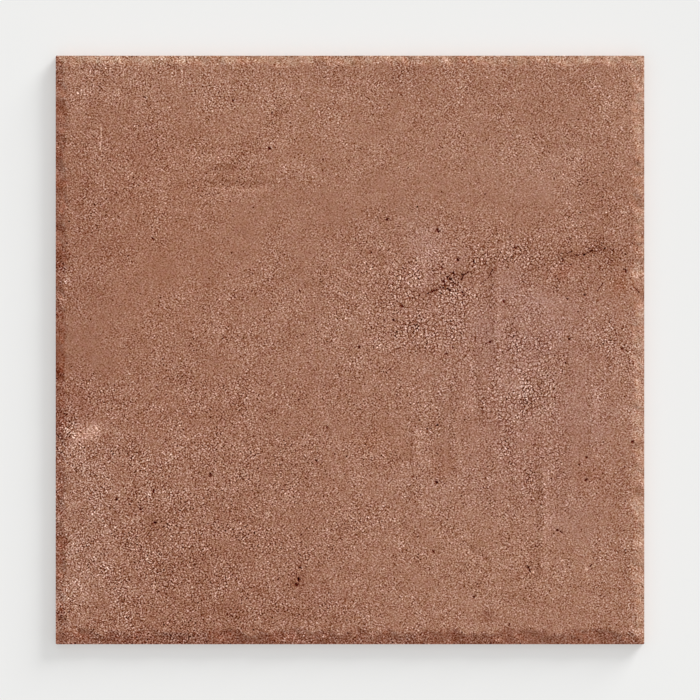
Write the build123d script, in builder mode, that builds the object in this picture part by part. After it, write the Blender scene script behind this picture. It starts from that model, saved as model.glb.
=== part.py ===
"""Square porcelain floor tile with the look of old terracotta, dust-pressed and fired as one piece.

The tile lies face up with its back on the floor. The origin is the middle of the back, X runs along the
length, Y along the width and Z up through the thickness. The face rolls down to the sides in a rustic
edge that wavers as if worked by hand, and the back has a lattice of ribs with shallow key pockets
between them, which hold the tile to its adhesive bed.
"""

import os
from math import atan2, ceil, cos, degrees, pi, sin

from build123d import *

# Overall size of the pressed body, in millimetres.
tile_length = 330.0
tile_width = 330.0
tile_thickness = 9.0
corner_radius = 0.6
back_arris = 0.5

# Rolled edge of the face on each side: its width in plan, and how far it falls to the side.
front_edge_width = 7.4
front_edge_drop = 3.0
right_edge_width = 6.2
right_edge_drop = 2.7
back_edge_width = 4.9
back_edge_drop = 2.1
left_edge_width = 5.6
left_edge_drop = 2.1
edge_roundness = 0.1  # 0 is a flat bevel, 1 is a round that starts level with the face

# Waver of the rolled edge: how much its width and its fall change, as shares of their means.
width_waver = 0.28
drop_waver = 0.15
drop_lead = 4.0  # radians by which the waver of the fall runs ahead of that of the width
long_ripple = 41.0
short_ripple = 17.0
long_share = 0.6
stations_per_ripple = 5

# Key lattice of the back: ribs in the plane of the back, with drafted pockets between them.
key_pitch = 38.0
rib_width = 5.0
pocket_depth = 0.8
pocket_corner = 4.0  # length cut off each way at a corner
pocket_draft = 30.0  # degrees from the vertical
back_border = 10.0  # least plain margin round the lattice

# Room by which a cutting shape runs past what it cuts.
overrun = 2.0
overrun_angle = 2.0

quarter_turn = 90.0


def ripple(run, side):
    """Wander of a hand-worked edge, from -1 to 1, at a distance along one of the four sides."""
    long_wave = sin(2 * pi * run / long_ripple + side)
    short_wave = sin(2 * pi * run / short_ripple + 2 * side)
    return long_share * long_wave + (1 - long_share) * short_wave


def rolled_edge(side, side_length, side_distance, mean_width, mean_drop):
    """What the rolled edge of one side takes off, made along the front and turned to its own side."""
    run_length = side_length + 2 * overrun
    spans = ceil(run_length * stations_per_ripple / short_ripple)
    with BuildPart() as waste:
        for station in range(spans + 1):
            run = run_length * (station / spans - 0.5)
            width = mean_width * (1 + width_waver * ripple(run, side))
            drop = mean_drop * (1 + drop_waver * ripple(run, side + drop_lead))
            slope = atan2(drop, width)
            face_angle = slope * (1 - edge_roundness)
            side_angle = slope * (1 + edge_roundness)
            radius = width / (sin(side_angle) - sin(face_angle))
            centre = (
                width - side_distance + radius * sin(face_angle),
                tile_thickness - radius * cos(face_angle),
            )
            with BuildSketch(Plane.YZ.offset(run)):
                with BuildLine():
                    roll = CenterArc(
                        centre,
                        radius,
                        quarter_turn + degrees(face_angle) - overrun_angle,
                        degrees(side_angle - face_angle) + 2 * overrun_angle,
                    )
                    inner = roll @ 0
                    outer = roll @ 1
                    top = tile_thickness + overrun
                    Polyline(inner, (inner.X, top), (outer.X, top), outer)
                make_face()
        loft(ruled=True)
    return waste.part.rotate(Axis.Z, side * quarter_turn)


# Waste of the four rolled edges, from the front round by the right.
edge_waste = [
    rolled_edge(0, tile_length, tile_width / 2, front_edge_width, front_edge_drop),
    rolled_edge(1, tile_width, tile_length / 2, right_edge_width, right_edge_drop),
    rolled_edge(2, tile_length, tile_width / 2, back_edge_width, back_edge_drop),
    rolled_edge(3, tile_width, tile_length / 2, left_edge_width, left_edge_drop),
]

# Key pockets that fit on the back inside its border.
pocket_side = key_pitch - rib_width
pockets_along = int((tile_length - 2 * back_border + rib_width) // key_pitch)
pockets_across = int((tile_width - 2 * back_border + rib_width) // key_pitch)

with BuildPart() as tile:
    # Pressed slab, with its back edges broken
    with BuildSketch():
        RectangleRounded(tile_length, tile_width, corner_radius)
    extrude(amount=tile_thickness)
    chamfer(tile.faces().sort_by(Axis.Z)[0].edges(), back_arris)

    # Rolled edges of the face
    add(edge_waste, mode=Mode.SUBTRACT)

    # Key pockets in the back
    with BuildSketch() as pockets:
        with GridLocations(key_pitch, key_pitch, pockets_along, pockets_across):
            Rectangle(pocket_side, pocket_side)
        chamfer(pockets.vertices(), pocket_corner)
    extrude(amount=pocket_depth, taper=pocket_draft, mode=Mode.SUBTRACT)

tile.part.label = "porcelain_tile"
os.makedirs("parts", exist_ok=True)
export_step(tile.part, "parts/porcelain_tile.step")
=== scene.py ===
"""Looks of the porcelain tile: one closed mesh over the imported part, fired clay, floor, light and camera.

Lengths are in millimetres until the mesh is made. X runs to the right of the photograph, Y to its top and
Z out of the face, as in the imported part. Where each side has its own value, they are in the order front,
right, back and left.
"""

import math

import bpy
import numpy as np
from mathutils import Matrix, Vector
from mathutils.geometry import delaunay_2d_cdt


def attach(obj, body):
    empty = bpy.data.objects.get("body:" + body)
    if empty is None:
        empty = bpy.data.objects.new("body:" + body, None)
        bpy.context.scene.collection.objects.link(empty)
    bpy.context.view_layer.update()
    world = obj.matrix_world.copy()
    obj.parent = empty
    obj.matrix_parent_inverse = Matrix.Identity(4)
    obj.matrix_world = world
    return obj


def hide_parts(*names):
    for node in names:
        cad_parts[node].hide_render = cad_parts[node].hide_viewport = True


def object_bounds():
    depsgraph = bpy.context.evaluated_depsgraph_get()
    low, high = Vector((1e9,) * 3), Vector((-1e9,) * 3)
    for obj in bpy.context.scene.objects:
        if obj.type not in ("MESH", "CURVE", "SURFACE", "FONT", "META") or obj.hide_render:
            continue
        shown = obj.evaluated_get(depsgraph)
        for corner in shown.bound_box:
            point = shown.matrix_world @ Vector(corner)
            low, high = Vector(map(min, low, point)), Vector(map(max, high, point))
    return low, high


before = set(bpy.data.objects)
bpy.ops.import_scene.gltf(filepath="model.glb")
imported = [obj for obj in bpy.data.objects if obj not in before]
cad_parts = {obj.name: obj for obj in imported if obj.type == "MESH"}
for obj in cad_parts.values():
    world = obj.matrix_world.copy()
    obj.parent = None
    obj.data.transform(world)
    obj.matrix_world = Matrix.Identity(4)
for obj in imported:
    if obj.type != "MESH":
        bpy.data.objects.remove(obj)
cad_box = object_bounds()

METRES = 0.001  # metres in a millimetre
WHITE = 255  # white on the scale in which colours are written

# Sizes of the pressed body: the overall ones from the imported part, the others as in its source.
HALF = round(cad_box[1][0] / METRES, 3)
THICKNESS = round(cad_box[1][2] / METRES, 3)
CORNER_RADIUS = 0.6
BACK_ARRIS = 0.5
EDGE_WIDTHS = (7.4, 6.2, 4.9, 5.6)
EDGE_DROPS = (3.0, 2.7, 2.1, 2.1)
EDGE_ROUNDNESS = 0.1
WIDTH_WAVER = 0.28
DROP_WAVER = 0.15
DROP_LEAD = 4.0
LONG_RIPPLE = 41.0
SHORT_RIPPLE = 17.0
LONG_SHARE = 0.6
KEY_PITCH = 38.0
RIB_WIDTH = 5.0
BACK_BORDER = 10.0
KEY_COUNT = int((2 * HALF - 2 * BACK_BORDER + RIB_WIDTH) // KEY_PITCH)
POCKET_SIDE = KEY_PITCH - RIB_WIDTH
POCKET_DEPTH = 0.8
POCKET_CORNER = 4.0
POCKET_DRAFT = math.radians(30.0)

# Small round where the rolled edge meets the side.
RIM_INSET = 0.25
RIM_DROP = 0.1

# Finer working of the rolled edge and relief of the face, as layers of depth, size and seed.
CRINKLES = ((1.4, 6.0, 11), (0.7, 2.8, 12))
CRINKLE_FADE = 2.0  # distance from the side at which the crinkles have their full depth
LUMPS = ((1.0, 8.0, 13), (0.3, 3.4, 14))
LUMP_HEIGHTS = (0.45, 0.46, 0.65, 0.75)
LUMP_REACH = 6.0
LUMP_FADE = 1.0
RELIEF = ((0.06, 45.0, 21), (0.03, 12.0, 22), (0.02, 4.0, 23))

# Spacing of the mesh: along the outline, in the rolled edge, over the face and round its marks.
OUTLINE_STEP = 0.8
CORNER_STEPS = 4
EDGE_STEP = 0.85
FACE_STEP = 1.75
MARK_STEP = 0.3
JITTER = 0.16  # share of the step
EDGE_BAND = 11.0
MARK_SPAN = 1.7  # times the width of the mark
MARK_MARGIN = 0.6
SIDE_ROWS = (0.08, 0.5, 1.0)  # shares of the side's height, from its top
SHARP_ANGLE = math.radians(40)
MERGE_DISTANCE = 1e-6
TRIANGLES_INSIDE = 1  # what the triangulation gives for the face
PIECES_BETWEEN_EDGES = 2  # what it gives for the back

# Pits of the face: place along X and Y, and radius.
PITS = [
    (-28.7, -128.3, 1.15), (-28.2, -121.9, 0.78), (-29.9, -131.6, 1.06), (-109.4, -96.5, 1.0),
    (-110.0, -79.1, 0.9), (-78.0, -70.2, 1.01), (-12.9, -43.2, 0.78), (-18.5, -62.3, 0.78),
    (46.6, -112.8, 0.9), (48.3, -74.1, 0.78), (35.4, -71.3, 0.73), (48.8, -42.1, 0.78),
    (116.2, -101.0, 0.84), (118.4, -102.1, 0.73), (131.9, -73.0, 0.78), (69.6, -138.1, 0.78),
    (49.1, 66.9, 1.01), (60.3, 50.4, 1.01), (69.2, 49.6, 0.78), (20.8, 73.0, 0.78),
    (29.2, 24.7, 0.84), (24.1, 16.8, 0.84), (93.2, 57.2, 0.78), (86.4, 27.2, 0.95),
    (57.2, 1.1, 0.78), (53.9, -2.2, 0.78), (78.6, 4.5, 0.84), (5.1, 1.7, 0.78),
    (-130.8, -83.6, 0.84), (-117.3, -89.2, 0.9), (145.4, 15.7, 0.62), (122.9, 6.2, 0.65),
    (152.7, 0.6, 0.62), (158.3, -51.6, 0.84), (132.4, -60.1, 0.78), (120.7, -7.3, 0.62),
    (123.2, 62.0, 0.62), (119.3, 50.2, 0.67), (154.3, 44.3, 0.84), (131.5, 30.9, 0.78),
    (121.8, 28.6, 0.72), (-115.1, 141.4, 0.78), (-65.7, 139.7, 0.78), (-43.8, 132.4, 0.78),
    (-44.9, 112.8, 0.95), (-110.6, 62.3, 0.78), (51.6, 45.9, 0.67), (63.0, 32.3, 0.73),
    (64.3, 31.1, 0.67), (57.0, 36.2, 0.56),
]
PIT_DEPTH = 0.45  # share of the radius

# Cracks of the face, all of them broken: line of places, width and strength.
CRACKS = [
    ([(40.7, 30.6), (43.5, 31.7), (45.7, 32.7)], 0.32, 0.6),
    ([(46.0, 32.8), (47.1, 33.4)], 0.5, 1.0),
    ([(48.3, 33.8), (49.7, 34.1)], 0.42, 0.95),
    ([(51.2, 34.5), (52.5, 34.9)], 0.55, 1.0),
    ([(52.8, 35.9), (53.0, 36.8)], 0.44, 0.9),
    ([(51.4, 38.9), (52.2, 39.0)], 0.44, 0.95),
    ([(52.5, 38.4), (53.2, 38.4)], 0.6, 1.0),
    ([(53.9, 37.9), (54.4, 37.9)], 0.44, 0.9),
    ([(54.3, 40.7), (55.3, 41.2)], 0.5, 1.0),
    ([(55.8, 39.6), (56.4, 39.5)], 0.55, 1.0),
    ([(54.6, 34.5), (55.4, 34.5)], 0.52, 1.0),
    ([(55.8, 33.2), (56.6, 33.5)], 0.5, 1.0),
    ([(55.8, 43.5), (56.6, 43.5)], 0.42, 0.9),
    ([(58.0, 43.5), (58.3, 41.8)], 0.45, 0.9),
    ([(62.3, 39.6), (63.1, 41.2)], 0.38, 0.8),
    ([(62.6, 42.4), (63.1, 42.2)], 0.55, 1.0),
    ([(63.7, 42.4), (65.0, 42.4)], 0.42, 0.9),
    ([(65.7, 43.5), (66.7, 43.9)], 0.45, 0.95),
    ([(59.9, 36.2), (61.2, 38.4)], 0.4, 0.7),
    ([(67.6, 40.7), (68.5, 40.7)], 0.4, 0.75),
    ([(50.7, 43.8), (50.9, 42.7)], 0.36, 0.7),
    ([(58.1, 37.9), (58.6, 37.3)], 0.45, 0.9),
    ([(122.5, 54.7), (124.5, 55.3)], 0.4, 0.8),
    ([(126.3, 53.0), (128.0, 53.1), (128.8, 53.6)], 0.38, 0.75),
    ([(131.0, 53.0), (131.6, 53.6)], 0.4, 0.8),
    ([(132.2, 53.6), (132.5, 53.8)], 0.45, 0.85),
    ([(132.7, 54.2), (133.9, 54.7), (134.4, 55.3), (136.1, 55.3)], 0.38, 0.75),
    ([(137.2, 55.3), (138.9, 55.2)], 0.34, 0.7),
    ([(133.9, 57.0)], 0.42, 0.8),
    ([(133.9, 52.5)], 0.4, 0.8),
    ([(136.7, 53.0)], 0.4, 0.8),
    ([(142.5, 56.7), (143.1, 57.2)], 0.4, 0.8),
    ([(123.7, 48.0), (123.7, 47.4)], 0.4, 0.85),
    ([(133.6, 46.2)], 0.5, 0.85),
    ([(145.1, 49.1), (146.2, 49.1)], 0.36, 0.6),
    ([(73.0, 36.8), (76.1, 39.3)], 0.4, 0.7),
    ([(76.8, 40.0), (78.6, 42.1), (80.0, 45.2)], 0.42, 0.62),
    ([(138.6, 33.1), (141.9, 37.7)], 0.36, 0.7),
    ([(159.3, 34.9), (161.8, 32.5)], 0.4, 0.7),
    ([(99.4, -121.0), (100.0, -122.6), (100.8, -124.2)], 0.5, 0.95),
    ([(134.3, -121.1), (135.2, -120.4)], 0.4, 0.8),
]
CRACK_DEPTH = 0.4  # share of the width times the strength

# Pale specks and streaks of the face: line of places, width and strength.
SPECKS = [
    ([(136.3, 46.7)], 0.9, 0.6),
    ([(142.5, 33.7)], 0.9, 0.6),
    ([(160.5, 40.5)], 1.0, 0.55),
    ([(132.6, -122.8)], 1.25, 1.0),
    ([(107.3, -120.8)], 0.75, 0.9),
    ([(102.5, -124.4)], 1.1, 1.0),
    ([(-152.7, 143.7)], 0.8, 0.8),
    ([(-114.5, 137.5)], 0.8, 0.7),
    ([(-154.9, -48.3)], 0.9, 0.8),
    ([(-142.0, -43.8)], 0.8, 0.8),
    ([(-158.5, -44.0), (-156.0, -47.0)], 0.6, 0.65),
    ([(-108.0, -94.5)], 0.7, 0.7),
    ([(-48.3, -104.9)], 0.9, 0.8),
    ([(-32.5, -102.7)], 0.7, 0.6),
    ([(-139.7, 126.3), (-139.2, 119.0), (-139.9, 112.2)], 0.42, 0.6),
    ([(-94.3, 156.6), (-94.0, 148.7)], 0.42, 0.65),
]

# Ragged borders of the marks, as layers of strength, size and seed.
MARK_ROUGHNESS = (0.5, 1.4, 31)
MARK_BEND_X = (0.25, 2.2, 32)
MARK_BEND_Y = (0.25, 2.2, 33)

# Patches of the fired colour: place, reach along X and Y, and shift of red, green and blue out of 255.
PATCHES = [
    ((-148, 40), (22, 75), (-6, -6, -5)),
    ((-112, 67), (60, 70), (-2, -4, -5)),
    ((-148, -98), (15, 45), (3, 5, 6)),
    ((-152, -30), (12, 14), (-5, -7, -6)),
    ((-156, -136), (9, 8), (10, 12, 12)),
    ((-67, -118), (62, 34), (-6, -7, -7)),
    ((-90, -150), (62, 11), (-9, -10, -10)),
    ((-111, -98), (10, 9), (-9, -9, -9)),
    ((-34, -132), (10, 13), (-7, -8, -8)),
    ((-93, -121), (20, 12), (-5, -5, -5)),
    ((-90, -35), (66, 26), (-3, -4, -4)),
    ((-95, 150), (62, 14), (2, 3, 3)),
    ((152, 135), (13, 22), (6, 7, 6)),
    ((92, 106), (32, 18), (5, 6, 6)),
    ((108, 98), (15, 10), (4, 5, 6)),
    ((42, 57), (9, 12), (9, 10, 12)),
    ((107, 21), (17, 9), (5, 6, 7)),
    ((140, 56), (18, 6), (-11, -12, -12)),
    ((153, 38), (8, 5), (-3, -9, -12)),
    ((121, 47), (5, 4), (-1, -8, -8)),
    ((14, -51), (13, 8), (-2, -5, -7)),
    ((51, -65), (7, 8), (-2, -5, -6)),
    ((138, -73), (8, 7), (-4, -7, -7)),
    ((152, -38), (11, 24), (2, 3, 3)),
    ((101, -124), (12, 20), (-4, -5, -5)),
    ((-55, 112), (12, 9), (-8, -9, -9)),
    ((-11, 68), (7, 12), (-5, -7, -7)),
    ((0, 2), (17, 13), (3, 4, 4)),
    ((48, -36), (15, 38), (2, 3, 3)),
    ((42, 26), (28, 26), (2, 2, 3)),
    ((110, 2), (40, 36), (2, 3, 5)),
    ((100, -40), (38, 50), (2, 3, 6)),
    ((95, -118), (62, 34), (3, 4, 3)),
    ((-28, 123), (67, 34), (3, 3, 2)),
    ((72, 8), (45, 30), (3, 4, 5)),
    ((-43, -120), (9, 8), (5, 6, 6)),
    ((55, -76), (30, 14), (3, 4, 5)),
    ((35, 72), (10, 8), (3, 5, 6)),
    ((76, -149), (7, 5), (-12, -13, -12)),
    ((-95, -2), (14, 12), (-5, -5, -5)),
    ((33, 154), (12, 9), (-6, -6, -5)),
    ((145, 79), (10, 9), (-5, -6, -6)),
    ((-14, -137), (10, 9), (-5, -6, -5)),
    ((-19, -18), (9, 9), (-5, -6, -5)),
    ((121, 115), (10, 9), (-5, -5, -5)),
    ((-115, 115), (14, 12), (-5, -6, -5)),
    ((-31, -65), (11, 9), (-5, -5, -5)),
    ((-12, 155), (11, 8), (-6, -6, -5)),
    ((104, -22), (20, 14), (4, 5, 3)),
    ((0, 20), (22, 9), (4, 5, 5)),
    ((90, 36), (7, 10), (4, 5, 7)),
    ((-162, -44), (5, 8), (-17, -19, -19)),
    ((-163, -14), (4, 9), (-8, -9, -9)),
    ((113, -153), (10, 7), (5, 5, 6)),
]

# Unevenness of the patches and of their borders, and mottle of the whole, as strength, size and seed.
PATCH_UNEVEN = (0.35, 14.0, 41)
BORDER_WARP_X = (7.0, 16.0, 42)
BORDER_WARP_Y = (7.0, 16.0, 43)
MOTTLE = (2.0, 28.0, 46)

# Soft scratches and smudges: line of places, width and shift out of 255.
SMUDGES = [
    ([(79.4, 50.0), (79.4, -9.0)], 2.6, -12),
    ([(83.3, 48.0), (83.4, -9.0)], 1.5, 11),
    ([(67.9, -3.0), (67.9, -34.0)], 1.6, 12),
    ([(72.2, -3.0), (72.0, -34.0)], 2.0, -12),
    ([(51.4, -31.0), (51.4, -71.0)], 3.2, -8),
    ([(105.8, -66.0), (105.9, -127.0)], 1.6, -14),
    ([(109.7, -70.0), (109.8, -125.0)], 1.4, 9),
    ([(33.9, -45.0), (33.9, -61.0)], 2.4, -13),
    ([(37.9, -45.0), (37.9, -61.0)], 1.5, 15),
    ([(56.1, -20.0), (56.1, -71.0)], 1.4, -9),
    ([(138.0, -20.0), (138.0, -59.0)], 2.4, 5),
    ([(-78.0, 102.0), (-66.0, 102.3)], 1.7, -19),
    ([(-78.0, 107.0), (-66.0, 107.0)], 1.5, 10),
    ([(-81.0, 94.3), (-44.0, 94.0)], 1.4, -16),
    ([(-72.0, 89.8), (-59.0, 89.8)], 1.3, 20),
    ([(-55.0, 89.8), (-46.0, 90.2)], 1.3, 17),
    ([(59.5, -104.5), (66.5, -109.5), (73.0, -113.5), (79.0, -118.5)], 1.3, -18),
    ([(56.0, -107.0), (64.0, -113.0), (75.0, -119.0)], 1.5, 13),
    ([(45.5, 32.0), (56.0, 38.5), (66.5, 44.0)], 3.0, -11),
    ([(-151.0, -48.0), (-143.5, -45.5)], 4.2, 40),
    ([(115.0, 53.5), (128.0, 53.5), (136.0, 55.5), (147.0, 57.0)], 1.7, -14),
    ([(-156.0, -96.0), (-120.0, -90.0)], 0.9, -7),
    ([(-110.0, -76.0), (-110.2, -99.0)], 1.2, -7),
    ([(-2.0, -114.0), (20.0, -113.0)], 1.3, 6),
    (
        [
            (138.2, 91.5), (138.0, 95.5), (140.0, 97.0), (142.4, 95.5),
            (142.6, 91.5), (140.4, 89.8), (138.2, 91.5),
        ],
        0.6,
        -14,
    ),
    ([(140.3, 92.0), (140.3, 95.0)], 1.5, 7),
    ([(130.6, 93.5), (131.4, 91.5)], 2.0, -10),
    ([(102.0, -120.8), (104.5, -122.5)], 2.2, -8),
]
SMUDGE_LEVEL = 0.9
SMUDGE_UNEVEN = (0.4, 5.0, 40)

# Faint strokes: place, reach, squeeze of the plan along X and Y, size and seed, and shift out of 255.
UPRIGHT_STROKES = ((90, -40), (75, 85), (1.0, 0.12), 4.0, 47)
UPRIGHT_SHIFT = 7.0
LEVEL_STROKES = ((-68, 95), (50, 30), (0.15, 1.0), 3.6, 48)
LEVEL_SHIFT = 6.0

# Painted light and shade of the rolled edges: the right and back ones, which face the key, are paler, and the
# front and left ones, which face away from it, are darker and redder. Shift of red, green and blue out of
# 255, and sharpness of its border.
EDGE_LIGHT_AND_SHADE = ((1, -9, -10), (-0.5, 6, 7), (-3.5, 4, 4), (3.5, -5, -6))
BORDER_SHARPNESS = 6

# Blotches of the rolled edges: strength out of 255, size, squeeze across the edge, first seed and detail.
EDGE_BLOTCHES = (11, 9, 20, 20)
BLOTCH_SIZE = 8.0
BLOTCH_SQUEEZE = 0.4
BLOTCH_SEED = 51
BLOTCH_DETAIL = (0.5, 3.0, 55)
BLOTCH_SHIFT = (0.8, 1.05, 1.1)

# Boldest scallops of the rolled edges, as painted light and shade of a relief that the mesh does not carry:
# place along the side and shift out of 255.
SCALLOP_LIGHT_AND_SHADE = (
    ((-71, -8), (6, 11), (25, 8), (61, -8)),
    ((100, -10), (83, -13), (63, -11), (33, -15), (-79, -12), (-88, 10)),
    ((146, 11), (22, 10), (15, -15), (-63, -11), (-99, -11)),
    ((-144, 12), (-136, -12), (-48, -14), (3, -15), (14, -20), (34, -14), (57, 16), (97, 16), (139, 14)),
)
SCALLOP_REACH = 4.0

# Worn places with little grain and a paler, greyer colour: place and reach.
WORN = [
    ((42, 61), (9, 9)),
    ((61, 50), (7, 5)),
    ((88, 38), (7, 9)),
    ((46, 42), (6, 6)),
    ((76, 11), (11, 7)),
    ((135, -39), (13, 12)),
    ((122, -95), (14, 13)),
    ((106, 24), (10, 6)),
]
WORN_SHIFT = (3, 4, 6)
WORN_CHANGE = -0.3  # of the grain
WORN_PEBBLES = -0.4  # change of the pebbles

# Strength of the grain: place, reach and change.
GRAIN_PATCHES = [
    ((41, 25), (35, 33), 0.42),
    ((105, 52), (52, 12), 0.3),
    ((98, -25), (17, 34), 0.35),
    ((150, 0), (12, 11), 0.3),
    ((100, -76), (14, 15), 0.2),
    ((-154, -52), (10, 13), 0.3),
    ((-118, -105), (88, 72), 0.34),
    ((141, -26), (10, 10), 0.25),
    ((99, -127), (10, 9), 0.25),
    ((-137, -4), (22, 12), -0.3),
    ((-138, 160), (30, 8), 0.3),
    ((-24, -25), (13, 9), -0.25),
    ((100, -147), (40, 10), -0.18),
    ((22, -125), (12, 10), -0.2),
    ((146, -48), (10, 10), -0.2),
    ((112, 139), (16, 12), -0.2),
    ((25, 124), (48, 10), -0.2),
    ((-17, 58), (9, 12), -0.2),
    ((57, 8), (9, 8), -0.25),
]

# Smooth arc that crosses the upper left.
SMOOTH_ARC = [
    (-163, 0), (-126, 25), (-101, 50), (-76, 56), (-50, 76),
    (-25, 81), (0, 88), (40, 92), (72, 92), (100, 86),
]
SMOOTH_REACH = 15.0
SMOOTH_CHANGE = -0.32

# Strength of the grain over the whole face, in the rolled edges and in the upright strokes.
GRAIN_LEVEL = 0.962
GRAIN_CONTRAST = 1.46  # power to which its changes are raised
LEAST_GRAIN = 0.2
GRAIN_WANDER = ((0.22, 17.0, 44), (0.16, 7.0, 49))
EDGE_GRAIN = (1.12, 0.84, 0.95, 1.07)
STROKE_CHANGE = -0.25

# Areas of pebbled grain: place, reach and weight.
PEBBLE_PATCHES = [
    ((42, 26), (42, 36), 0.85),
    ((98, -25), (34, 60), 0.9),
    ((120, 50), (44, 14), 0.6),
    ((-100, -95), (80, 60), 0.35),
]
PEBBLE_LEVEL = 0.9
PEBBLE_UNEVEN = (0.5, 13.0, 45)

# Areas of pale lime specks: place, reach and weight.
LIME_PATCHES = [
    ((-155, -49), (9, 9), 0.9),
    ((-146, -95), (22, 48), 0.6),
    ((-120, 130), (45, 40), 0.25),
]

# Colours as they show: the printed face, the plainer body, and the shifts of the marks and the back's wash.
FACE_COLOUR = np.array([160.2, 114.2, 93.4]) / WHITE
BODY_COLOUR = np.array([171, 121, 98]) / WHITE
DARK_SHIFT = np.array([88, 104, 100]) / WHITE
PALE_SHIFT = np.array([56, 60, 60]) / WHITE
KILN_WASH = np.array([20, 24, 26]) / WHITE
WASH_HEIGHT = 0.1
DARKEST = (0.04, 0.03, 0.02)
SCREEN_GAMMA = 2.2

# Sand of the face: size of a grain, strength, and shift and turn of its field.
SAND = (
    (0.62, 0.23, (0.641, 0.427, 0), 45),
    (0.8, 0.41, (0.341, 0.227, 0), 42),
    (1.0, 0.27, (0.013, 0.071, 0), 48),
    (1.25, 0.12, (0.217, 0.133, 0), 38),
    (2.6, 0.05, (0.419, 0.377, 0), 25),
    (3.5, 0.065, (0.523, 0.611, 0), 65),
    (8.0, 0.056, (0.733, 0.859, 0), 15),
    (16.0, 0.02, (0.933, 0.159, 0), 35),
)
SAND_STRETCH = (0.95, 1.06, 1.0)  # grains to the millimetre along X and Y, against even ones
SAND_SHARPNESS = 5.0
SAND_DARKNESS = -0.7
GRAIN_TINT = (0.97, 1.1, 1.17)

# Pebbles of the face, their dark joints and the sand on them.
PEBBLE_SIZE = 2.1
PEBBLE_BEND = 1.8
PEBBLE_BEND_SIZE = 3.0
PEBBLE_SLOPE = 4.5
PEBBLE_MIDDLE = 0.74
PEBBLE_STRENGTH = 0.24
PEBBLE_SAND = -0.2

# Pinholes and lime specks: size of the cell that may hold one, radius and share of the cells that do.
PINHOLES = (13.0, 0.6, 0.4)
PINHOLE_SHIFT = -0.34
LIME_SPECKS = (3.4, 0.5, 0.4)
LIME_SHIFT = 0.18

# Grain of the body, and drift of the face's colour: sizes and strengths.
BODY_GRAIN = ((0.9, 0.16), (5.0, 0.1))
DRIFT_SIZES = (2.2, 4.5)
DRIFT_STRENGTH = (0.012, 0.01, 0.014)

# Crumbled border of the marks: size, shift of its field, strength, and where and how sharply a mark starts.
CRUMBLE_SIZE = 0.7
CRUMBLE_PLACE = (0.151, 0.863, 0)
CRUMBLE_STRENGTH = 0.9
MARK_START = 0.3
MARK_RISE = 4.0
MARK_SHARPNESS = 2.5

# Surface of the fired clay.
BUMP_STRENGTH = 0.1
BUMP_DEPTH = 0.4
ROUGHNESS = 0.65
GLOSS = 0.06

# Floor, a hair below the back, with an opening under the tile through which the back shows from below.
FLOOR_REACH = 3.0  # metres
FLOOR_GAP = 0.05
OPENING_INSET = 3.0
FLOOR_COLOUR = (0.86, 0.86, 0.85, 1)
SHADOW_LIFT = 0.42  # share of the floor's own paleness that the camera sees whatever the light

# Light: a low key from the upper right of the photograph, a broad one overhead and an even sky.
KEY_SHARE = 0.36
KEY_HEIGHT = math.radians(16.5)
KEY_TURN = math.radians(40)
KEY_SPREAD = math.radians(30)
OVERHEAD_SHARE = 0.48
OVERHEAD_HEIGHT = math.radians(90)
OVERHEAD_SPREAD = math.radians(130)
SKY_SHARE = 1 - KEY_SHARE - OVERHEAD_SHARE

# Camera: straight down through a long lens, with the tile as large as in the photograph.
CAMERA_HEIGHT = 4.0  # metres over the rim
RIM_HEIGHT = 6.8
SENSOR_WIDTH = 36
PICTURE_PIXELS = 700
TILE_PIXELS = 588.6

# Smooth random fields: cells each way before a field repeats, and scale that brings it mostly within -1 to 1.
FIELD_CELLS = 512
FIELD_SCALE = 1.6


def fade(share):
    """Smooth step from 0 to 1, level at both ends."""
    return share * share * share * (share * (share * 6 - 15) + 10)


def wander(x, y, cell, seed):
    """Smooth random field over the plan, with features about one cell across."""
    turn = np.random.default_rng(seed).uniform(0, 2 * np.pi, (FIELD_CELLS, FIELD_CELLS))
    u = x / cell + FIELD_CELLS / 2
    v = y / cell + FIELD_CELLS / 2
    i = np.floor(u).astype(int)
    j = np.floor(v).astype(int)
    a = u - i
    b = v - j

    def pull(di, dj):
        angle = turn[(i + di) % FIELD_CELLS, (j + dj) % FIELD_CELLS]
        return np.cos(angle) * (a - di) + np.sin(angle) * (b - dj)

    low = pull(0, 0) * (1 - fade(a)) + pull(1, 0) * fade(a)
    high = pull(0, 1) * (1 - fade(a)) + pull(1, 1) * fade(a)
    return FIELD_SCALE * (low * (1 - fade(b)) + high * fade(b))


def layered(x, y, *layers):
    """Sum of random fields, each with its strength, size and seed."""
    return sum(strength * wander(x, y, size, seed) for strength, size, seed in layers)


def soft_spot(x, y, place, reach):
    """Weight of a soft patch: 1 in its middle, falling to nothing."""
    return np.exp(-(((x - place[0]) / reach[0]) ** 2) - ((y - place[1]) / reach[1]) ** 2)


def line_distance(x, y, line):
    """Distance from each point to a dot or a line of places."""
    nearest = np.hypot(x - line[0][0], y - line[0][1])
    for (x0, y0), (x1, y1) in zip(line, line[1:]):
        square = (x1 - x0) ** 2 + (y1 - y0) ** 2
        along = np.clip(((x - x0) * (x1 - x0) + (y - y0) * (y1 - y0)) / square, 0, 1)
        nearest = np.minimum(nearest, np.hypot(x - x0 - along * (x1 - x0), y - y0 - along * (y1 - y0)))
    return nearest


def soft_line(x, y, line, width):
    """Weight of a soft dot or line: 1 along its middle, falling to nothing."""
    return np.exp(-((line_distance(x, y, line) / width) ** 2))


def ripple(run, side):
    """Wander of a hand-worked edge, as in the part's source."""
    long_wave = np.sin(2 * np.pi * run / LONG_RIPPLE + side)
    short_wave = np.sin(2 * np.pi * run / SHORT_RIPPLE + 2 * side)
    return LONG_SHARE * long_wave + (1 - LONG_SHARE) * short_wave


def side_places(x, y):
    """Distance to each side and the place along it, for the front, right, back and left."""
    return ((HALF + y, x), (HALF - x, y), (HALF - y, -x), (HALF + x, -y))


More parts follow.
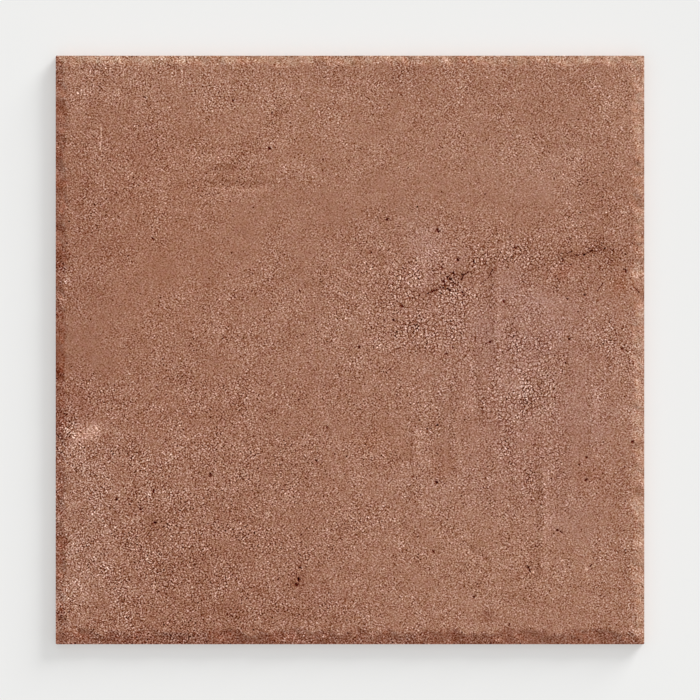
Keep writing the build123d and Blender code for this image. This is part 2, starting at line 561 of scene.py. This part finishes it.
def worked_distance(x, y, distance):
    """Distance to a side with the crinkles of its working, which die out at the side itself."""
    crinkle = layered(x, y, *CRINKLES) * np.clip(distance / CRINKLE_FADE, 0, 1)
    return np.clip(distance + crinkle, 0, None)


def roll_width(run, side):
    """Width of one rolled edge, as in the part's source."""
    return EDGE_WIDTHS[side] * (1 + WIDTH_WAVER * ripple(run, side))


def roll_height(distance, run, side):
    """Height of the face over one rolled edge, as in the part's source."""
    width = roll_width(run, side)
    drop = EDGE_DROPS[side] * (1 + DROP_WAVER * ripple(run, side + DROP_LEAD))
    slope = np.arctan2(drop, width)
    face_angle = slope * (1 - EDGE_ROUNDNESS)
    side_angle = slope * (1 + EDGE_ROUNDNESS)
    radius = width / (np.sin(side_angle) - np.sin(face_angle))
    reach = width + radius * np.sin(face_angle) - np.clip(distance, 0, width)
    return THICKNESS - radius * np.cos(face_angle) + np.sqrt(radius**2 - reach**2)


def face_height(x, y):
    """Height of the face over the plan, before its marks."""
    height = np.full(x.shape, THICKNESS)
    nearest = np.full(x.shape, HALF)
    lump_height = np.zeros(x.shape)
    for side, (distance, run) in enumerate(side_places(x, y)):
        height = np.minimum(height, roll_height(worked_distance(x, y, distance), run, side))
        nearest = np.minimum(nearest, distance)
        lump_height = np.maximum(lump_height, LUMP_HEIGHTS[side] * np.exp(-((distance / LUMP_REACH) ** 2)))
    lumps = lump_height * np.clip(nearest / LUMP_FADE, 0, 1) * layered(x, y, *LUMPS)
    relief = sum(depth for depth, _, _ in RELIEF) + layered(x, y, *RELIEF)
    return np.minimum(height + lumps - np.clip(relief, 0, None), THICKNESS)


def mark_fields(x, y):
    """Depth of the marks over the plan, and the weights of the dark and the pale ones."""
    depth = np.zeros(x.shape)
    dark = np.zeros(x.shape)
    pale = np.zeros(x.shape)
    rough = 1 + layered(x, y, MARK_ROUGHNESS)
    bent_x = x + layered(x, y, MARK_BEND_X)
    bent_y = y + layered(x, y, MARK_BEND_Y)
    marks = [([(pit_x, pit_y)], radius, 1.0, PIT_DEPTH * radius) for pit_x, pit_y, radius in PITS]
    marks += [(line, width, strength, CRACK_DEPTH * width * strength) for line, width, strength in CRACKS]
    for line, width, strength, deep in marks:
        weight = soft_line(bent_x, bent_y, line, width / rough)
        depth = np.maximum(depth, deep * weight)
        dark = np.maximum(dark, strength * weight)
    for line, width, strength in SPECKS:
        pale = np.maximum(pale, strength * soft_line(bent_x, bent_y, line, width / rough))
    return depth, dark, pale


def rounded_square(half, radius):
    """Places round a square with rounded corners, anticlockwise from the lower end of its right side."""
    side_steps = round(2 * HALF / OUTLINE_STEP)
    quarter = np.arange(CORNER_STEPS + 1) / CORNER_STEPS * np.pi / 2
    straight = half - radius
    side = np.linspace(-straight, straight, side_steps, endpoint=False)[1:]
    places = np.concatenate(
        [
            np.column_stack([np.full(len(side), half), side]),
            np.column_stack([straight + radius * np.cos(quarter), straight + radius * np.sin(quarter)]),
        ]
    )
    turns = [np.array([[1, 0], [0, 1]]), np.array([[0, -1], [1, 0]])]
    turns += [-turns[0], -turns[1]]
    return np.concatenate([places @ turn.T for turn in turns])


def cut_square(half, corner):
    """Places round a square with its corners cut off, anticlockwise."""
    side = half - corner
    right_and_top = np.array([(half, -side), (half, side), (side, half), (-side, half)])
    return np.concatenate([right_and_top, -right_and_top])


def lattice(step, seed):
    """Jittered triangular lattice over the plan."""
    rows = np.arange(-HALF, HALF, step * math.sqrt(3) / 2)
    columns = np.arange(-HALF, HALF, step)
    x, y = np.meshgrid(columns, rows)
    x = x + step / 2 * (np.arange(len(rows)) % 2)[:, None]
    places = np.stack([x.ravel(), y.ravel()], 1)
    return places + np.random.default_rng(seed).uniform(-JITTER, JITTER, places.shape) * step


def near_mark(places):
    """Which places lie on or round a mark."""
    near = np.zeros(len(places), bool)
    marks = [([(pit_x, pit_y)], radius) for pit_x, pit_y, radius in PITS]
    marks += [(line, width) for line, width, _ in CRACKS + SPECKS]
    for line, width in marks:
        near |= line_distance(places[:, 0], places[:, 1], line) < MARK_SPAN * width + MARK_MARGIN
    return near


def ring(places):
    """Distance of places from the middle, measured square."""
    return np.abs(places).max(1)


# Places of the face's vertices.
rim = rounded_square(HALF - RIM_INSET, CORNER_RADIUS - RIM_INSET)
face_points = lattice(FACE_STEP, seed=1)
edge_points = lattice(EDGE_STEP, seed=2)
mark_points = lattice(MARK_STEP, seed=3)
face_points = face_points[(ring(face_points) < HALF - EDGE_BAND) & ~near_mark(face_points)]
edge_points = edge_points[(ring(edge_points) > HALF - EDGE_BAND) & (ring(edge_points) < HALF - EDGE_STEP)]
edge_points = edge_points[~near_mark(edge_points)]
mark_points = mark_points[near_mark(mark_points) & (ring(mark_points) < HALF - EDGE_STEP)]
plan = [Vector(place) for place in np.concatenate([rim, face_points, edge_points, mark_points])]
rim_row = list(range(len(rim)))
plan, _, faces, *_ = delaunay_2d_cdt(plan, [], [rim_row], TRIANGLES_INSIDE, MERGE_DISTANCE, False)
plan = np.array([tuple(place) for place in plan])
face_z = face_height(plan[:, 0], plan[:, 1]) - mark_fields(plan[:, 0], plan[:, 1])[0]
vertex_rows = [np.column_stack([plan, face_z])]
face_rows = [np.ones(len(plan))]


def add_vertices(places, z, on_face=0.0):
    """Adds a row of vertices and returns their numbers."""
    start = sum(len(row) for row in vertex_rows)
    vertex_rows.append(np.column_stack([places, np.broadcast_to(z, len(places))]))
    face_rows.append(np.full(len(places), on_face))
    return list(range(start, start + len(places)))


def strip(first, second):
    """Joins two closed rows of vertices: the faces look out if the first row is the upper one, else in."""
    for i in range(len(first)):
        k = (i + 1) % len(first)
        faces.append((first[i], second[i], second[k], first[k]))


# Sides and the broken arris of the back.
outline = rounded_square(HALF, CORNER_RADIUS)
side_top = face_z[: len(rim)] - RIM_DROP
upper = add_vertices(outline, side_top, on_face=1.0)
strip(rim_row, upper)
for share in SIDE_ROWS:
    lower = add_vertices(outline, side_top + (BACK_ARRIS - side_top) * share)
    strip(upper, lower)
    upper = lower
back_outline = rounded_square(HALF - BACK_ARRIS, CORNER_RADIUS - BACK_ARRIS)
back_row = add_vertices(back_outline, 0.0)
strip(upper, back_row)

# Back with its key pockets.
inset = POCKET_DEPTH * math.tan(POCKET_DRAFT)
floor_corner = POCKET_CORNER - inset * (2 - math.sqrt(2))  # the slanted walls of the corners lean in as well
pocket_rim = cut_square(POCKET_SIDE / 2, POCKET_CORNER)
pocket_floor = cut_square(POCKET_SIDE / 2 - inset, floor_corner)
back_places = [back_outline]
back_numbers = list(back_row)
back_edges = [(i, (i + 1) % len(back_row)) for i in range(len(back_row))]
pocket_of = [None] * len(back_row)
for pocket in range(KEY_COUNT**2):
    middle = (np.array(divmod(pocket, KEY_COUNT)) - (KEY_COUNT - 1) / 2) * KEY_PITCH
    mouth = add_vertices(pocket_rim + middle, 0.0)
    bottom = add_vertices(pocket_floor + middle, POCKET_DEPTH)
    strip(mouth, bottom)
    faces.append(tuple(reversed(bottom)))
    start = len(back_numbers)
    back_edges += [(start + i, start + (i + 1) % len(mouth)) for i in range(len(mouth))]
    back_numbers += mouth
    back_places.append(pocket_rim + middle)
    pocket_of += [pocket] * len(mouth)
back_places = [Vector(place) for place in np.concatenate(back_places)]
back_faces = delaunay_2d_cdt(back_places, back_edges, [], PIECES_BETWEEN_EDGES, MERGE_DISTANCE, False)[2]
for corners in back_faces:
    pockets = {pocket_of[corner] for corner in corners}
    if len(pockets) > 1 or pockets == {None}:
        faces.append(tuple(back_numbers[corner] for corner in reversed(corners)))

vertices = np.concatenate(vertex_rows)
on_face = np.concatenate(face_rows)
mesh = bpy.data.meshes.new("fired_tile")
mesh.from_pydata((vertices * METRES).tolist(), [], faces)
mesh.shade_smooth()
mesh.set_sharp_from_angle(angle=SHARP_ANGLE)
tile = bpy.data.objects.new("fired_tile", mesh)
bpy.context.scene.collection.objects.link(tile)

# Fired colour of the vertices, with painted light and shade on the rolled edges.
x, y, z = vertices.T
patch_uneven = 1 + layered(x, y, PATCH_UNEVEN)
smudge_uneven = SMUDGE_LEVEL + layered(x, y, SMUDGE_UNEVEN)
warp_x = x + layered(x, y, BORDER_WARP_X)
warp_y = y + layered(x, y, BORDER_WARP_Y)


def patched(patches):
    """Sum of soft patches with ragged borders, each with its own weight."""
    return sum(soft_spot(warp_x, warp_y, place, reach) * weight for place, reach, weight in patches)


def strokes(place, reach, squeeze, size, seed):
    """Faint strokes in one area, drawn out along the axis whose squeeze is small."""
    return soft_spot(x, y, place, reach) * wander(squeeze[0] * x, squeeze[1] * y, size, seed)


tint = np.zeros((len(x), 3))
for place, reach, shift in PATCHES:
    tint += (soft_spot(warp_x, warp_y, place, reach) * patch_uneven)[:, None] * shift
for line, width, shift in SMUDGES:
    tint += (soft_line(x, y, line, width) * smudge_uneven)[:, None] * shift
worn = np.clip(patched([(place, reach, 1.0) for place, reach in WORN]), 0, 1)
tint += worn[:, None] * WORN_SHIFT
edge_gain = np.ones(len(x))
side_rows = [(worked_distance(x, y, distance), distance, run) for distance, run in side_places(x, y)]
side_heights = [roll_height(worked, run, side) for side, (worked, _, run) in enumerate(side_rows)]
lowest_side = np.argmin(side_heights, 0)
for side, (worked, distance, run) in enumerate(side_rows):
    rolled = np.exp(-((worked / roll_width(run, side)) ** BORDER_SHARPNESS)) * (lowest_side == side)
    # Painted light and shade: each rolled edge is made paler or darker by how it faces the key.
    tint += rolled[:, None] * EDGE_LIGHT_AND_SHADE[side]
    blotches_and_scallop_shade = wander(run, BLOTCH_SQUEEZE * distance, BLOTCH_SIZE, BLOTCH_SEED + side)
    blotches_and_scallop_shade = EDGE_BLOTCHES[side] * (blotches_and_scallop_shade + layered(x, y, BLOTCH_DETAIL))
    # Painted light and shade of the scallops, added to the random blotches.
    for middle, shift in SCALLOP_LIGHT_AND_SHADE[side]:
        blotches_and_scallop_shade += shift * np.exp(-(((run - middle) / SCALLOP_REACH) ** 2))
    tint += (rolled * blotches_and_scallop_shade)[:, None] * BLOTCH_SHIFT
    edge_gain *= 1 + rolled * (EDGE_GRAIN[side] - 1)
upright = strokes(*UPRIGHT_STROKES)
mottle = layered(x, y, MOTTLE) + UPRIGHT_SHIFT * upright + LEVEL_SHIFT * strokes(*LEVEL_STROKES)
tint = (tint + mottle[:, None]) / WHITE * on_face[:, None]
tint[(on_face == 0) & (z < WASH_HEIGHT)] = KILN_WASH

# Weights of the grain, the pebbles, the lime and the marks at the vertices.
gain = 1 + patched(GRAIN_PATCHES) + WORN_CHANGE * worn
gain += SMOOTH_CHANGE * soft_line(warp_x, warp_y, SMOOTH_ARC, SMOOTH_REACH)
gain *= 1 + layered(x, y, *GRAIN_WANDER) + STROKE_CHANGE * upright
gain = GRAIN_LEVEL * np.clip(gain * edge_gain, LEAST_GRAIN, None) ** GRAIN_CONTRAST
pebble = patched(PEBBLE_PATCHES) * (PEBBLE_LEVEL + layered(x, y, PEBBLE_UNEVEN)) + WORN_PEBBLES * worn
pebble = np.clip(pebble, 0, 1)
lime = np.clip(patched(LIME_PATCHES), 0, 1)
_, dark, pale = mark_fields(x, y)
fields = {
    "tint": tint,
    "weights": np.column_stack([gain, pebble, lime]),
    "cover": np.column_stack([on_face, dark * on_face, pale * on_face]),
}
for name, values in fields.items():
    attribute = mesh.attributes.new(name, "FLOAT_VECTOR", "POINT")
    attribute.data.foreach_set("vector", values.astype(np.float32).ravel())


def empty_material(name):
    """Adds a material with no nodes yet, and makes its tree the one that node() adds to."""
    global tree
    material = bpy.data.materials.new(name)
    material.use_nodes = True
    tree = material.node_tree
    tree.nodes.clear()
    return material


def node(kind, inputs=None, **settings):
    """Adds a node, with sockets linked and plain values set."""
    made = tree.nodes.new(kind)
    for name, value in settings.items():
        setattr(made, name, value)
    for key, value in (inputs or {}).items():
        if isinstance(value, bpy.types.NodeSocket):
            tree.links.new(value, made.inputs[key])
        else:
            made.inputs[key].default_value = value
    return made


def calc(operation, *values, clamp=False):
    """One step of arithmetic."""
    return node("ShaderNodeMath", dict(enumerate(values)), operation=operation, use_clamp=clamp).outputs[0]


def vector(operation, *values):
    """One step of arithmetic on three values at once."""
    return node("ShaderNodeVectorMath", dict(enumerate(values)), operation=operation).outputs[0]


def total(*terms):
    """Sum of values, each times its strength."""
    result = 0.0
    for value, strength in terms:
        result = calc("MULTIPLY_ADD", value, strength, result)
    return result


def shifted(colour, weight, shift):
    """Colour with a weighted shift of red, green and blue."""
    weights = node("ShaderNodeCombineXYZ", {0: weight, 1: weight, 2: weight}).outputs[0]
    return vector("MULTIPLY_ADD", weights, shift, colour)


def vertex_field(name):
    """Three values that the vertices hold under one name."""
    return node("ShaderNodeAttribute", attribute_name=name).outputs["Vector"]


def speckle(at, size, dimensions="2D"):
    """Smooth noise with features of about the given size in millimetres, as a value and as a colour."""
    inputs = {"Vector": at, "Scale": 1 / (size * METRES), "Detail": 0.0}
    return node("ShaderNodeTexNoise", inputs, noise_dimensions=dimensions).outputs


def noise(size, dimensions="2D", shift=(0, 0, 0), turn=0):
    """Smooth noise centred on 0, in a field that is shifted and turned by some degrees."""
    inputs = {
        "Vector": position,
        "Location": shift,
        "Rotation": (0, 0, math.radians(turn)),
        "Scale": SAND_STRETCH,
    }
    at = node("ShaderNodeMapping", inputs).outputs[0]
    return calc("SUBTRACT", speckle(at, size, dimensions)["Fac"], 0.5)


def cells(size, feature, at):
    """Irregular cells of about the given size in millimetres."""
    inputs = {"Vector": at, "Scale": 1 / (size * METRES)}
    return node("ShaderNodeTexVoronoi", inputs, feature=feature, voronoi_dimensions="2D").outputs


def dots(size, radius, share):
    """Dots in a share of the cells, each with its own strength up to 1."""
    made = cells(size, "F1", position)
    inside = calc("SUBTRACT", radius / size, made["Distance"])
    inside = calc("MULTIPLY", inside, 2 * size / radius, clamp=True)
    luck = node("ShaderNodeSeparateColor", {0: made["Color"]}).outputs[0]
    strength = calc("MULTIPLY", calc("SUBTRACT", luck, 1 - share), 2 / share, clamp=True)
    return calc("MULTIPLY", inside, strength)


# Fired clay.
clay = empty_material("fired_clay")
position = node("ShaderNodeTexCoord").outputs["Object"]
grain_gain, pebble_weight, lime_weight = node("ShaderNodeSeparateXYZ", {0: vertex_field("weights")}).outputs
face_share, dark_mark, pale_mark = node("ShaderNodeSeparateXYZ", {0: vertex_field("cover")}).outputs
body_share = calc("SUBTRACT", 1.0, face_share)

# Grain of the face: sand of several sizes with sharp extremes, and pebbles with dark joints.
sand = total(*((noise(size, shift=shift, turn=turn), strength) for size, strength, shift, turn in SAND))
square = calc("MULTIPLY", sand, sand)
sand = calc("MULTIPLY", sand, calc("MULTIPLY_ADD", square, SAND_SHARPNESS, 1.0))
sand = calc("MULTIPLY_ADD", square, SAND_DARKNESS, sand)
bend = (PEBBLE_BEND * METRES, PEBBLE_BEND * METRES, 0)
bent = vector("MULTIPLY_ADD", speckle(position, PEBBLE_BEND_SIZE)["Color"], bend, position)
joint_distance = cells(PEBBLE_SIZE, "DISTANCE_TO_EDGE", bent)["Distance"]
pebbles = calc("MULTIPLY", joint_distance, PEBBLE_SLOPE, clamp=True)
pebbles = calc("MULTIPLY", calc("SUBTRACT", pebbles, PEBBLE_MIDDLE), PEBBLE_STRENGTH)
sand = calc("MULTIPLY", sand, calc("MULTIPLY_ADD", pebble_weight, PEBBLE_SAND, 1.0))
face_grain = calc("MULTIPLY", calc("MULTIPLY_ADD", pebbles, pebble_weight, sand), grain_gain)
face_grain = calc("MULTIPLY_ADD", dots(*PINHOLES), PINHOLE_SHIFT, face_grain)
face_grain = calc("MULTIPLY_ADD", calc("MULTIPLY", dots(*LIME_SPECKS), lime_weight), LIME_SHIFT, face_grain)
body_grain = total(*((noise(size, "3D"), strength) for size, strength in BODY_GRAIN))
grain = calc("MULTIPLY_ADD", face_grain, face_share, calc("MULTIPLY", body_grain, body_share))

# Marks, which crumble at their borders.
crumble = noise(CRUMBLE_SIZE, shift=CRUMBLE_PLACE)


def crisp(mark):
    """Mark with a sharp, crumbled border."""
    crumbled = calc("MULTIPLY_ADD", crumble, CRUMBLE_STRENGTH, calc("SUBTRACT", mark, MARK_START))
    crumbled = calc("MULTIPLY", crumbled, calc("MULTIPLY", mark, MARK_RISE, clamp=True))
    return calc("MULTIPLY", crumbled, MARK_SHARPNESS, clamp=True)


# Colour as it shows, turned to what the surface reflects.
shown = shifted(FACE_COLOUR, body_share, BODY_COLOUR - FACE_COLOUR)
shown = vector("ADD", shown, vertex_field("tint"))
for size in DRIFT_SIZES:
    drift = vector("SUBTRACT", speckle(position, size)["Color"], (0.5, 0.5, 0.5))
    shown = vector("MULTIPLY_ADD", drift, DRIFT_STRENGTH, shown)
shown = shifted(shown, crisp(dark_mark), -DARK_SHIFT)
shown = shifted(shown, crisp(pale_mark), PALE_SHIFT)
shown = shifted(shown, grain, GRAIN_TINT)
shown = vector("MAXIMUM", shown, DARKEST)
colour = node("ShaderNodeGamma", {"Color": shown, "Gamma": SCREEN_GAMMA}).outputs[0]
bumps = {"Height": grain, "Strength": BUMP_STRENGTH, "Distance": BUMP_DEPTH * METRES}
normal = node("ShaderNodeBump", bumps).outputs[0]
surface = node(
    "ShaderNodeBsdfPrincipled",
    {"Base Color": colour, "Roughness": ROUGHNESS, "Specular IOR Level": GLOSS, "Normal": normal},
)
node("ShaderNodeOutputMaterial", {"Surface": surface.outputs[0]})
mesh.materials.append(clay)

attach(tile, "root")
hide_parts("porcelain_tile")

# Floor.
floor_corners = [
    (reach * side_x, reach * side_y, -FLOOR_GAP * METRES)
    for reach in (FLOOR_REACH, (HALF - OPENING_INSET) * METRES)
    for side_x, side_y in ((-1, -1), (1, -1), (1, 1), (-1, 1))
]
floor_mesh = bpy.data.meshes.new("floor")
floor_mesh.from_pydata(floor_corners, [], [(i, (i + 1) % 4, 4 + (i + 1) % 4, 4 + i) for i in range(4)])
floor = bpy.data.objects.new("floor", floor_mesh)
bpy.context.scene.collection.objects.link(floor)
plaster = empty_material("pale_floor")
matte = node("ShaderNodeBsdfDiffuse", {"Color": FLOOR_COLOUR}).outputs[0]
glow = node("ShaderNodeEmission", {"Color": FLOOR_COLOUR}).outputs[0]
ray = node("ShaderNodeLightPath").outputs
seen = calc("MAXIMUM", ray["Is Camera Ray"], ray["Is Glossy Ray"])
seen = calc("MAXIMUM", seen, ray["Is Transmission Ray"])
lifted = node("ShaderNodeMixShader", {0: calc("MULTIPLY", seen, SHADOW_LIFT), 1: matte, 2: glow})
node("ShaderNodeOutputMaterial", {"Surface": lifted.outputs[0]})
floor_mesh.materials.append(plaster)


def sun(name, share, height, turn, spread):
    """Adds a far lamp with a share of the floor's light, at a height over it and a turn from +Y to +X."""
    lamp = bpy.data.lights.new(name, "SUN")
    lamp.energy = share * math.pi / math.sin(height)
    lamp.angle = spread
    made = bpy.data.objects.new(name, lamp)
    towards = Vector((math.sin(turn) * math.cos(height), math.cos(turn) * math.cos(height), math.sin(height)))
    made.rotation_euler = towards.to_track_quat("Z", "Y").to_euler()
    bpy.context.scene.collection.objects.link(made)


# Light.
sun("key", KEY_SHARE, KEY_HEIGHT, KEY_TURN, KEY_SPREAD)
sun("overhead", OVERHEAD_SHARE, OVERHEAD_HEIGHT, 0.0, OVERHEAD_SPREAD)
world = bpy.data.worlds.new("sky")
world.use_nodes = True
sky = world.node_tree.nodes["Background"]
sky.inputs["Color"].default_value = (1, 1, 1, 1)
sky.inputs["Strength"].default_value = SKY_SHARE
bpy.context.scene.world = world
bpy.context.scene.view_settings.view_transform = "Standard"

# Camera.
shown_width = 2 * HALF * METRES * PICTURE_PIXELS / TILE_PIXELS
camera_data = bpy.data.cameras.new("camera")
camera_data.sensor_width = SENSOR_WIDTH
camera_data.lens = SENSOR_WIDTH * CAMERA_HEIGHT / shown_width
camera = bpy.data.objects.new("camera", camera_data)
camera.location = (0, 0, CAMERA_HEIGHT + RIM_HEIGHT * METRES)
bpy.context.scene.collection.objects.link(camera)
bpy.context.scene.camera = camera
